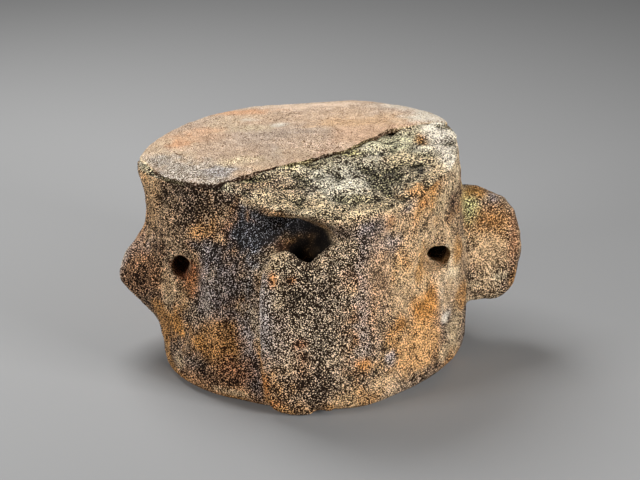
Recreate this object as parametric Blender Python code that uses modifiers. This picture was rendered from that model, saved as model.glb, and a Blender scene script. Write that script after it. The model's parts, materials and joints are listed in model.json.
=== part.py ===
"""A tail vertebra of a large whale, life size, standing on one of its end faces.

The bone is one solid. The centrum is a short drum, turned from a profile, whose side is swollen and
hollowed by angle and height and whose upper face leans and is worn away in part. The neural arch and the
right transverse process are joined to it. The neural canal runs down behind the arch, and one
foramen goes through the root of each process. The whole is then blended into one even skin.

Frame: metres, +Z up along the bone's own axis, -Y dorsal, +X to the viewer's right when facing the dorsal
side. The origin is under the middle of the finished bone, on the surface that it stands on.
An angle "round" is measured about Z from the dorsal direction, in degrees, positive towards +X.
"""

import math

import bmesh
import bpy
import numpy as np
from mathutils import Vector

NAME = "whale_vertebra"

# The centrum: its height on the axis, and its outline at the lower face and at the upper rim
HEIGHT = 0.157
FACE_TILT = 0.05
MEAN_RADIUS = 0.118
WAIST_DEPTH = 0.004
LOWER_ROUNDING = 0.008
UPPER_ROUNDING = 0.0025

# The outline of the lower face and of the upper one, whose dorsal left is worn back: round, radius
LOWER_OUTLINE = (
    (-150, 0.1165),
    (-120, 0.1060),
    (-95, 0.1005),
    (-75, 0.1055),
    (-60, 0.1120),
    (0, 0.1180),
    (60, 0.1200),
    (95, 0.1260),
    (150, 0.1180),
)
UPPER_OUTLINE = (
    (-165, 0.1175),
    (-151, 0.1185),
    (-137, 0.1195),
    (-118, 0.1182),
    (-106, 0.1198),
    (-98, 0.1218),
    (-89, 0.1226),
    (-82, 0.1190),
    (-73, 0.1085),
    (-64, 0.0985),
    (-56, 0.0905),
    (-48, 0.0825),
    (-40, 0.0790),
    (-32, 0.0810),
    (-24, 0.0885),
    (-16, 0.0960),
    (-9, 0.1040),
    (0, 0.1130),
    (10, 0.1215),
    (21, 0.1260),
    (34, 0.1195),
    (50, 0.1160),
    (65, 0.1162),
    (80, 0.1165),
    (90, 0.1172),
    (98, 0.1188),
    (112, 0.1230),
    (121, 0.1280),
    (132, 0.1285),
    (145, 0.1250),
    (160, 0.1205),
)
OUTLINE_SPREAD = (-6, -3, 0, 3, 6)

# Swellings and hollows of the side: radius, round, height, width in degrees, half height, squareness.
# A squareness of 1 is a bell, and 2 has a flatter middle and steeper flanks
SIDE_SWELLINGS = (
    (-0.028, -1, 0.1370, 15, 0.0140, 2),
    (-0.012, -30, 0.134, 17, 0.019, 1),
    (-0.006, -60, 0.140, 15, 0.009, 1),
    (-0.006, -22, 0.060, 8, 0.055, 1),
    (0.009, 21, 0.050, 13, 0.075, 1),
    (-0.005, 34, 0.132, 12, 0.014, 1),
    (-0.004, 56, 0.100, 9, 0.022, 1),
    (-0.005, -48, 0.098, 9, 0.022, 1),
    (0.009, 92, 0.072, 24, 0.055, 1),
    (0.012, -158, 0.078, 9, 0.056, 1),
    (0.012, 158, 0.078, 9, 0.056, 1),
    (-0.007, 180, 0.078, 10, 0.080, 1),
)

# The left transverse process, a low wedge that is steeper below than above
LEFT_TIP = 0.0325
LEFT_ROUND = -88.0
LEFT_WIDTH = 17.0
LEFT_Z = 0.0650
LEFT_ABOVE = 0.0340
LEFT_BELOW = 0.0260

# The right transverse process: a plate between an upper and a lower edge, each as reach and height
RIGHT_ROOT = 0.055
RIGHT_TIP = 0.1695
RIGHT_ROUND = 95.0
RIGHT_THICKNESS = 0.034
RIGHT_SQUARENESS = 4.0
RIGHT_BLUNTNESS = 14
RIGHT_THICKENING = (1.5, 0.8)
RIGHT_UPPER_EDGE = (
    (0.0550, 0.1240),
    (0.1225, 0.1225),
    (0.1346, 0.1230),
    (0.1440, 0.1180),
    (0.1550, 0.1135),
    (0.1626, 0.1070),
    (0.1660, 0.0985),
    (0.1695, 0.0880),
)
RIGHT_LOWER_EDGE = (
    (0.0550, 0.0335),
    (0.1285, 0.0335),
    (0.1400, 0.0333),
    (0.1513, 0.0335),
    (0.1573, 0.0360),
    (0.1634, 0.0405),
    (0.1665, 0.0475),
    (0.1695, 0.0560),
)

# The line across the upper face beyond which its smooth plate has worn away, as x and y
WEAR_X = (-0.070, -0.049, -0.031, -0.003, 0.034, 0.061, 0.092, 0.112)
WEAR_Y = (-0.070, -0.050, -0.036, -0.020, 0.000, 0.029, 0.044, 0.052)
WEAR_STEP = 0.003
WEAR_EDGE_WIDTH = 0.0015
WEAR_SLOPE = 0.04

# The neural arch, and its canal, whose ends are given as depth and height
ARCH_MIDDLE = 0.005
ARCH_HALF_WIDTH = 0.0325
ARCH_TOP = 0.129
ARCH_TOP_TILT = 0.2
ARCH_FOOT = 0.001
ARCH_FRONT = 0.1250
ARCH_FOOT_FORWARD = 0.007
ARCH_SQUARENESS = 3.8
ARCH_RIGHT_EASE = 0.007
ARCH_SADDLE_DEPTH = 0.009
ARCH_SADDLE_X = 0.0035
ARCH_SADDLE_POWER = 6
ARCH_SADDLE_HALF_WIDTH = 0.012
ARCH_THICKNESS = 0.018
CANAL_X = 0.007
CANAL_RADIUS = 0.0115
CANAL_TOP = (0.106, 0.135)
CANAL_FOOT = (0.110, -0.010)
CANAL_MOUTH = 1.5

# The foramen through the root of each process: its radius and its dorsal and ventral ends
FORAMEN_RADIUS = 0.0070
FORAMEN_DORSAL = ((-0.087, -0.082, 0.0905), (0.102, -0.074, 0.0950))
FORAMEN_VENTRAL = ((-0.087, 0.095, 0.072), (0.102, 0.095, 0.072))
FORAMEN_MOUTH = 1.8

# Mesh sizes
AROUND = 160
LOWER_FACE_RINGS = 22
ROUNDING_RINGS = 7
SIDE_RINGS = 60
UPPER_FACE_RINGS = 48
RIGHT_RINGS = 60
RIGHT_AROUND = 96
BALL_SEGMENTS = 64
BALL_RINGS = 48
BORE_SIDES = 24
BORE_STEPS = 25
BORE_FLARE_POWER = 6
VOXEL = 0.0028
SMOOTH_STEPS = 4
TRIANGLES = 9800

# The unevenness of the skin: how far it rises, its wavelength and its seed; how it dies out at the floor
UNEVEN = ((0.0010, 0.085, 3), (0.0006, 0.030, 4))
FLOOR_EASE = 0.012
FACE_CALM = 0.7

BONE_COLOUR = (0.52, 0.42, 0.30, 1.0)
BONE_ROUGHNESS = 0.9


def clear_scene():
    """Removes every object that the file opened with."""
    for thing in list(bpy.data.objects):
        bpy.data.objects.remove(thing, do_unlink=True)


def collection(name):
    """A new collection in the scene."""
    made = bpy.data.collections.new(name)
    bpy.context.scene.collection.children.link(made)
    return made


def ripple(points, wavelength, seed, waves=24):
    """Smooth unevenness of about -1 to 1: a sum of plane waves in seeded random directions."""
    draw = np.random.default_rng(seed)
    directions = draw.normal(size=(waves, 3))
    directions /= np.linalg.norm(directions, axis=1)[:, None]
    lengths = wavelength * draw.uniform(0.7, 1.6, waves)
    turns = points @ (directions / lengths[:, None]).T * 2 * math.pi
    return np.sin(turns + draw.uniform(0, 2 * math.pi, waves)).sum(1) / math.sqrt(waves)


def turned(round_deg, at_round):
    """How far one angle lies from another, in degrees from -180 to 180."""
    return (round_deg - at_round + 180) % 360 - 180


def outline(round_deg, table):
    """The radius at an angle between the stated places of an outline, its corners rounded over."""
    places, radii = zip(*table)
    near = [np.interp(round_deg + by, places, radii, period=360) for by in OUTLINE_SPREAD]
    return sum(near) / len(near)


def face_height(x, y):
    """The height of the upper face: leaning, and worn below its smooth plate at the dorsal right."""
    past_wear = np.interp(x, WEAR_X, WEAR_Y) - y
    step = WEAR_STEP * 0.5 * (1 + np.tanh(past_wear / WEAR_EDGE_WIDTH))
    return HEIGHT + FACE_TILT * x - step - WEAR_SLOPE * np.clip(past_wear, 0, None)


def side_radius(round_deg, z):
    """The radius of the drum's side by angle and height: outline, waist, swellings and hollows."""
    up = np.clip(z / HEIGHT, 0, 1)
    lower, upper = outline(round_deg, LOWER_OUTLINE), outline(round_deg, UPPER_OUTLINE)
    radius_here = lower + (MEAN_RADIUS - lower) * up + (upper - MEAN_RADIUS) * up**4
    radius_here -= WAIST_DEPTH * np.sin(math.pi * up) ** 2
    for radius, at_round, at_z, width, half_height, squareness in SIDE_SWELLINGS:
        away = (turned(round_deg, at_round) / width) ** 2 + ((z - at_z) / half_height) ** 2
        radius_here += radius * np.exp(-(away**squareness))
    half_height = np.where(z > LEFT_Z, LEFT_ABOVE, LEFT_BELOW)
    away = (turned(round_deg, LEFT_ROUND) / LEFT_WIDTH) ** 2 + ((z - LEFT_Z) / half_height) ** 2
    return radius_here + LEFT_TIP * np.exp(-away)


def drum_profile():
    """Half a section of the drum, from the lower middle to the upper middle.

    Each point is the share of the side's radius, the inset from it and the height.
    """
    turns = np.linspace(0, math.pi / 2, ROUNDING_RINGS)
    lower = [(share, LOWER_ROUNDING, 0.0) for share in np.linspace(0, 1, LOWER_FACE_RINGS, endpoint=False)]
    foot = []
    for turn in turns:
        inset, rise = LOWER_ROUNDING * (1 - math.sin(turn)), LOWER_ROUNDING * (1 - math.cos(turn))
        foot.append((1.0, inset, rise))
    heights = np.linspace(LOWER_ROUNDING, HEIGHT - UPPER_ROUNDING, SIDE_RINGS)[1:-1]
    side = [(1.0, 0.0, height) for height in heights]
    rim = []
    for turn in turns:
        inset, drop = UPPER_ROUNDING * (1 - math.cos(turn)), UPPER_ROUNDING * (1 - math.sin(turn))
        rim.append((1.0, inset, HEIGHT - drop))
    upper = [(share, UPPER_ROUNDING, HEIGHT) for share in np.linspace(1, 0, UPPER_FACE_RINGS + 1)[1:]]
    return lower + foot + side + rim + upper


def skin_rings(name, rings, into):
    """A closed mesh over rings of points, each ring joined to the next; the end rings are single places."""
    count, around = rings.shape[:2]
    inner = rings[1:-1].reshape(-1, 3)
    vertices = [tuple(rings[0, 0]), *map(tuple, inner), tuple(rings[-1, 0])]
    last_ring = 1 + (count - 3) * around
    faces = []
    for i in range(around):
        j = (i + 1) % around
        faces.append((0, 1 + j, 1 + i))
        faces.append((last_ring + i, last_ring + j, len(vertices) - 1))
        for ring in range(count - 3):
            a = 1 + ring * around
            faces.append((a + i, a + j, a + around + j, a + around + i))
    mesh = bpy.data.meshes.new(name)
    mesh.from_pydata(vertices, [], faces)
    made = bpy.data.objects.new(name, mesh)
    into.objects.link(made)
    return made


def make_centrum(into):
    """The drum: rings of the profile, pushed to the side's radius and to the upper face's height."""
    share, inset, level = np.array(drum_profile()).T[:, :, None]
    round_deg = np.arange(AROUND) * 360 / AROUND - 180
    level = level + np.zeros(AROUND)
    radius = share * (side_radius(round_deg, level) - inset)
    turn = np.radians(round_deg)[None, :]
    x, y = radius * np.sin(turn), -radius * np.cos(turn)
    z = level / HEIGHT * face_height(x, y)
    return skin_rings(NAME, np.stack([x, y, z], 2), into)


def unit_ball(name, into):
    """A sphere primitive of radius 1 that the shaping functions push into form."""
    bpy.ops.mesh.primitive_uv_sphere_add(segments=BALL_SEGMENTS, ring_count=BALL_RINGS)
    ball = bpy.context.active_object
    ball.name = ball.data.name = name
    for home in list(ball.users_collection):
        home.objects.unlink(ball)
    into.objects.link(ball)
    return ball


def read_points(thing):
    """The vertex positions as an array of rows."""
    points = np.empty(len(thing.data.vertices) * 3)
    thing.data.vertices.foreach_get("co", points)
    return points.reshape(-1, 3)


def write_points(thing, points):
    """Puts the vertices at these positions."""
    thing.data.vertices.foreach_set("co", points.astype(np.float32).ravel())
    thing.data.update()


def boxed(directions, half_sizes, squareness):
    """Unit directions pushed out to a box with rounded corners, rounder for a lower squareness."""
    reach = (np.abs(directions / half_sizes) ** squareness).sum(1) ** (-1 / squareness)
    return directions * reach[:, None]


def make_right_process(into):
    """The right transverse process: rounded sections between its two edges, closed at the blunt tip."""
    share = np.sin(np.linspace(0, math.pi / 2, RIGHT_RINGS))[:, None]
    reach = RIGHT_ROOT + (RIGHT_TIP - RIGHT_ROOT) * share
    upper = np.interp(reach, *zip(*RIGHT_UPPER_EDGE))
    lower = np.interp(reach, *zip(*RIGHT_LOWER_EDGE))
    closing = np.sqrt(1 - share**RIGHT_BLUNTNESS)
    turn = np.linspace(0, 2 * math.pi, RIGHT_AROUND, endpoint=False)[None, :]
    rounding = 2 / RIGHT_SQUARENESS
    across = np.sign(np.cos(turn)) * np.abs(np.cos(turn)) ** rounding * closing
    along = np.sign(np.sin(turn)) * np.abs(np.sin(turn)) ** rounding * closing
    across *= RIGHT_THICKNESS / 2 * np.interp(reach, (RIGHT_ROOT, RIGHT_TIP), RIGHT_THICKENING)
    facing = math.radians(RIGHT_ROUND)
    x = reach * math.sin(facing) + across * math.cos(facing)
    y = -reach * math.cos(facing) + across * math.sin(facing)
    z = (upper + lower) / 2 + along * (upper - lower) / 2
    rings = np.stack([x, y, z], 2)
    root = np.repeat(rings[:1].mean(1, keepdims=True), RIGHT_AROUND, 1)
    return skin_rings("right_process", np.concatenate([root, rings]), into)


def make_arch(into):
    """The neural arch: a thick plate over the canal, steep on its left edge and easing into the right."""
    arch = unit_ball("neural_arch", into)
    half = np.array([ARCH_HALF_WIDTH, ARCH_THICKNESS / 2, (ARCH_TOP - ARCH_FOOT) / 2])
    points = boxed(read_points(arch), half, ARCH_SQUARENESS)
    right = np.clip(points[:, 0] / ARCH_HALF_WIDTH, 0, 1)
    up = points[:, 2] / (ARCH_TOP - ARCH_FOOT) + 0.5
    saddle = np.exp(-(((points[:, 0] - ARCH_SADDLE_X) / ARCH_SADDLE_HALF_WIDTH) ** 2)) * up**ARCH_SADDLE_POWER
    points[:, 1] += ARCH_RIGHT_EASE * right**2 - ARCH_FOOT_FORWARD * (1 - up) ** 3
    points[:, 2] += ARCH_TOP_TILT * points[:, 0] * up - ARCH_SADDLE_DEPTH * saddle
    points += (ARCH_MIDDLE, ARCH_THICKNESS / 2 - ARCH_FRONT, (ARCH_TOP + ARCH_FOOT) / 2)
    write_points(arch, points)
    return arch


def make_bore(into, name, start, end, radius, mouth):
    """A round cutter from start to end, a turned profile that flares out at its start."""
    start, end = Vector(start), Vector(end)
    length = (end - start).length
    steps = np.linspace(0, 1, BORE_STEPS)
    flare = 1 + (mouth - 1) * np.clip(2 * steps - 1, 0, 1) ** BORE_FLARE_POWER
    rim = [(radius * wide, 0.0, length * (1 - step)) for wide, step in zip(flare, steps)]
    profile = [(0.0, 0.0, length), *rim, (0.0, 0.0, 0.0)]
    mesh = bpy.data.meshes.new(name)
    mesh.from_pydata(profile, [(i, i + 1) for i in range(len(profile) - 1)], [])
    bore = bpy.data.objects.new(name, mesh)
    into.objects.link(bore)
    screw = bore.modifiers.new("turn", "SCREW")
    screw.steps = screw.render_steps = BORE_SIDES
    screw.use_merge_vertices = True
    screw.merge_threshold = 0.00001
    bore.rotation_mode = "QUATERNION"
    bore.rotation_quaternion = (end - start).to_track_quat("Z", "Y")
    bore.location = start
    bore.hide_render = True
    bore.display_type = "WIRE"
    return bore


def apply_modifiers(thing):
    """Replaces the object's mesh by the one that its modifiers make of it."""
    bpy.context.view_layer.update()
    seen = thing.evaluated_get(bpy.context.evaluated_depsgraph_get())
    made = bpy.data.meshes.new_from_object(seen)
    thing.modifiers.clear()
    old, thing.data = thing.data, made
    bpy.data.meshes.remove(old)
    made.name = thing.name


def join_and_cut(body, pieces, cutters):
    """Joins the pieces to the body and takes the cutters out of it."""
    for operation, group in (("UNION", pieces), ("DIFFERENCE", cutters)):
        boolean = body.modifiers.new(operation.lower(), "BOOLEAN")
        boolean.operation = operation
        boolean.operand_type = "COLLECTION"
        boolean.collection = group
        boolean.solver = "EXACT"
    apply_modifiers(body)
    for piece in list(pieces.objects):
        bpy.data.objects.remove(piece, do_unlink=True)


def keep_largest(thing):
    """Drops every closed surface of the mesh but the one with the most corners."""
    bm = bmesh.new()
    bm.from_mesh(thing.data)
    left = set(bm.verts)
    islands = []
    while left:
        island, front = set(), [next(iter(left))]
        while front:
            vertex = front.pop()
            if vertex in island:
                continue
            island.add(vertex)
            front.extend(edge.other_vert(vertex) for edge in vertex.link_edges)
        islands.append(island)
        left -= island
    islands.sort(key=len)
    for island in islands[:-1]:
        bmesh.ops.delete(bm, geom=list(island), context="VERTS")
    bm.to_mesh(thing.data)
    bm.free()


def soften(body):
    """Blends the joined parts: one even skin, smoothed, uneven as old bone is, and reduced."""
    remesh = body.modifiers.new("one_skin", "REMESH")
    remesh.mode = "VOXEL"
    remesh.voxel_size = VOXEL
    smooth = body.modifiers.new("blend", "SMOOTH")
    smooth.factor = 0.5
    smooth.iterations = SMOOTH_STEPS
    apply_modifiers(body)
    keep_largest(body)
    points = read_points(body)
    normals = np.empty(len(points) * 3)
    body.data.vertex_normals.foreach_get("vector", normals)
    normals = normals.reshape(-1, 3)
    above_floor = np.clip(points[:, 2] / FLOOR_EASE, 0, 1)
    on_side = 1 - FACE_CALM * np.clip(normals[:, 2] * 2 - 1, 0, 1)
    uneven = sum(rise * ripple(points, wavelength, seed) for rise, wavelength, seed in UNEVEN)
    points += normals * (uneven * above_floor * on_side)[:, None]
    points[:, 2] = np.maximum(points[:, 2], 0)
    write_points(body, points)
    body.data.calc_loop_triangles()
    decimate = body.modifiers.new("reduce", "DECIMATE")
    decimate.ratio = TRIANGLES / len(body.data.loop_triangles)
    decimate.use_collapse_triangulate = True
    apply_modifiers(body)


def set_on_origin(body):
    """Moves the bone so that the origin is under the middle of its bounding box."""
    points = read_points(body)
    low, high = points.min(0), points.max(0)
    middle = (low + high) / 2
    write_points(body, points - (middle[0], middle[1], low[2]))


def bone_material():
    """Weathered grey-brown bone."""
    material = bpy.data.materials.new("weathered_bone")
    material.use_nodes = True
    shader = material.node_tree.nodes["Principled BSDF"]
    shader.inputs["Base Color"].default_value = BONE_COLOUR
    shader.inputs["Roughness"].default_value = BONE_ROUGHNESS
    shader.inputs["Metallic"].default_value = 0.0
    return material


def main():
    """Builds the bone."""
    clear_scene()
    model = collection("whale_bone")
    pieces = collection("pieces")
    cutters = collection("cutters")
    body = make_centrum(model)
    make_arch(pieces)
    make_right_process(pieces)
    for side, start, end in zip(("left", "right"), FORAMEN_DORSAL, FORAMEN_VENTRAL):
        make_bore(cutters, f"foramen_{side}", start, end, FORAMEN_RADIUS, FORAMEN_MOUTH)
    canal_top = (CANAL_X, -CANAL_TOP[0], CANAL_TOP[1])
    canal_foot = (CANAL_X, -CANAL_FOOT[0], CANAL_FOOT[1])
    make_bore(cutters, "canal", canal_top, canal_foot, CANAL_RADIUS, CANAL_MOUTH)
    join_and_cut(body, pieces, cutters)
    soften(body)
    set_on_origin(body)
    body.data.materials.clear()
    body.data.materials.append(bone_material())


main()
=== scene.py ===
"""The looks of a weathered tail vertebra of a large whale, which stands on one of its end faces.

The bone is one porous skin, joined from the drum of the centrum, the neural arch and the right side
plate, and bored by three channels. A thin smooth end plate lies on its upper face, broken off along an
uneven line. Both are stained by patches and carry fine open pores. Some patches are wholly or partly
painted shade, in the channels, hollows and crevices and beneath the plate's edge, and a few are partly
painted highlight; the bone's colour is also painted darker in its hollows and lighter on its knobs.

Shapes are worked out in the drum's own frame: metres, +Z up its axis, -Y dorsal, and angles "round" in
degrees from the dorsal direction, positive towards +X. The finished meshes are then set on the frame's
origin. Stains and dents are placed in the drum's frame too, but in millimetres.
"""

import itertools
import json
import logging
import math
from dataclasses import dataclass, field
from enum import Enum

import bmesh
import bpy
import numpy as np
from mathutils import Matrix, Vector

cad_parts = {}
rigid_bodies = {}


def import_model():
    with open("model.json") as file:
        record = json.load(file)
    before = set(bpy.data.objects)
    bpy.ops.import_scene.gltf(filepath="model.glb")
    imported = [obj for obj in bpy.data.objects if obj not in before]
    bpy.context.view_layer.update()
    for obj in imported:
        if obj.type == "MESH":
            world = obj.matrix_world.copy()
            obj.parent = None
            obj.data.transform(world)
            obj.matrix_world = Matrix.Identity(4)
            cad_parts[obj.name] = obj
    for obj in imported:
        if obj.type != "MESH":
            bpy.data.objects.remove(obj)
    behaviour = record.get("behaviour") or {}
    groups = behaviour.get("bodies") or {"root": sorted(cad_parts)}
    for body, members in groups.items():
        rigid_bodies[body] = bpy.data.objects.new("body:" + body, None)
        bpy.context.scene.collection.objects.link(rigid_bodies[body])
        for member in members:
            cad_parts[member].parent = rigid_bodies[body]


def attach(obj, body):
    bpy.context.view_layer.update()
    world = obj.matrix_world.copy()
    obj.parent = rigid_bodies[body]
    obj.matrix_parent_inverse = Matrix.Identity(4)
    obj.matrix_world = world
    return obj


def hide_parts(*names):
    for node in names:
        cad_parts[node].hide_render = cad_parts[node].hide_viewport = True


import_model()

log = logging.getLogger("whale_vertebra")

NODE = "whale_vertebra"
BODY = "root"

MM_PER_METRE = 1000.0

Triple = tuple[float, float, float]


class Layer(Enum):
    """The names of the colour and number layers that the meshes carry for their finish."""

    TINT = "tint"
    STRUT = "strut"
    FILL = "fill"
    COARSE = "coarse"
    PORES = "pores"


@dataclass(frozen=True)
class Clouds:
    """A smooth random field in space: random values on a lattice, eased between its points.

    Formula: the eight lattice values round a point, each weighted by the product over the axes of
    t or 1 - t, where t = 3 s^2 - 2 s^3 and s is the place of the point within its cell.
    """

    cell: float
    seed: int
    stretch: Triple = (1.0, 1.0, 1.0)
    size: int = 32

    def at(self, points: np.ndarray) -> np.ndarray:
        """The field at these points.

        Args:
            points: rows of x, y, z in metres.

        Returns:
            One value from -1 to 1 for each row.
        """
        table = np.random.default_rng(self.seed).uniform(-1, 1, (self.size,) * 3)
        place = points / (self.cell * np.array(self.stretch))
        corner = np.floor(place).astype(int)
        within = place - corner
        eased = within * within * (3 - 2 * within)
        value = np.zeros(len(points))
        for step in itertools.product((0, 1), repeat=3):
            weight = np.where(step, eased, 1 - eased).prod(axis=1)
            i, j, k = ((corner + step) % self.size).T
            value += weight * table[i, j, k]
        return value


@dataclass(frozen=True)
class Layered:
    """Clouds of several sizes, each times its own height, added up."""

    layers: tuple[tuple[float, Clouds], ...]

    def at(self, points: np.ndarray) -> np.ndarray:
        """The sum at these points, which are rows of x, y, z in metres."""
        return sum(height * cloud.at(points) for height, cloud in self.layers)


def smooth_step(value: np.ndarray, low: float, high: float) -> np.ndarray:
    """0 below low, 1 above high and an eased rise between, also with low above high."""
    share = np.clip((value - low) / (high - low), 0, 1)
    return share * share * (3 - 2 * share)


def turned(round_deg: np.ndarray, at_round: float) -> np.ndarray:
    """How far one angle lies from another, in degrees from -180 to 180."""
    return (round_deg - at_round + 180) % 360 - 180


def bell(across: np.ndarray, up: np.ndarray, squareness: float = 1.0) -> np.ndarray:
    """A bell curve of the distance from its middle, 1 there, flatter on top if squarer."""
    return np.exp(-((across**2 + up**2) ** squareness))


@dataclass(frozen=True)
class Outline:
    """A closed outline: radii at stated angles, straight between them, its corners rounded over."""

    places: tuple[tuple[float, float], ...]
    spread: tuple[float, ...] = (-6.0, -3.0, 0.0, 3.0, 6.0)

    def radius(self, round_deg: np.ndarray) -> np.ndarray:
        """The radius at each angle: the mean over a few degrees of the straight-line values.

        Args:
            round_deg: the angles.

        Returns:
            A radius for each angle.
        """
        angles, radii = zip(*self.places)
        parts = [np.interp(round_deg + by, angles, radii, period=360) for by in self.spread]
        return sum(parts) / len(parts)


@dataclass(frozen=True)
class Swelling:
    """A rise of the drum's side, or a hollow where its radius is below zero."""

    radius: float
    round_deg: float
    z: float
    width_deg: float
    half_height: float
    squareness: float = 1.0

    def at(self, round_deg: np.ndarray, z: np.ndarray) -> np.ndarray:
        """The change of radius: a bell curve of the distance in angle and height."""
        across = turned(round_deg, self.round_deg) / self.width_deg
        return self.radius * bell(across, (z - self.z) / self.half_height, self.squareness)


def skin_faces(rings: int, around: int) -> tuple[np.ndarray, np.ndarray]:
    """The faces of a closed skin of rings whose first and last rings are single points.

    Args:
        rings: how many rings, with the two end points.
        around: points in each ring.

    Returns:
        Four-cornered faces and three-cornered faces, as rows of vertex numbers.
    """
    i = np.arange(around)
    j = (i + 1) % around
    first = 1 + np.arange(rings - 3)[:, None] * around
    above = first + around
    quads = np.stack([first + i, first + j, above + j, above + i], axis=2).reshape(-1, 4)
    last = 1 + (rings - 3) * around
    lower = np.stack([np.zeros(around, int), 1 + j, 1 + i], axis=1)
    upper = np.stack([last + i, last + j, np.full(around, last + around)], axis=1)
    return quads, np.concatenate([lower, upper])


@dataclass
class Skin:
    """A closed mesh in arrays: points, and faces of four and three corners."""

    points: np.ndarray
    quads: np.ndarray
    triangles: np.ndarray

    @classmethod
    def of_rings(cls, rings: np.ndarray) -> "Skin":
        """A skin from rings of points whose end rings each shrink to a point.

        Args:
            rings: a grid of points: ring, place in the ring, then x, y and z.

        Returns:
            The skin.
        """
        inner = rings[1:-1].reshape(-1, 3)
        points = np.concatenate([rings[0, :1], inner, rings[-1, :1]])
        quads, triangles = skin_faces(len(rings), rings.shape[1])
        return cls(points, quads, triangles)

    def joined(self, other: "Skin") -> "Skin":
        """This skin and another in one mesh.

        Args:
            other: the skin to add.

        Returns:
            A new skin with the faces of both.
        """
        start = len(self.points)
        return Skin(
            np.concatenate([self.points, other.points]),
            np.concatenate([self.quads, other.quads + start]),
            np.concatenate([self.triangles, other.triangles + start]),
        )

    def as_object(self, name: str) -> bpy.types.Object:
        """A mesh object of the skin, linked to the scene.

        Args:
            name: the name of the object and of its mesh.

        Returns:
            The object.
        """
        mesh = bpy.data.meshes.new(name)
        mesh.from_pydata(self.points.tolist(), [], self.quads.tolist() + self.triangles.tolist())
        mesh.update()
        made = bpy.data.objects.new(name, mesh)
        bpy.context.scene.collection.objects.link(made)
        return made


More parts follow.
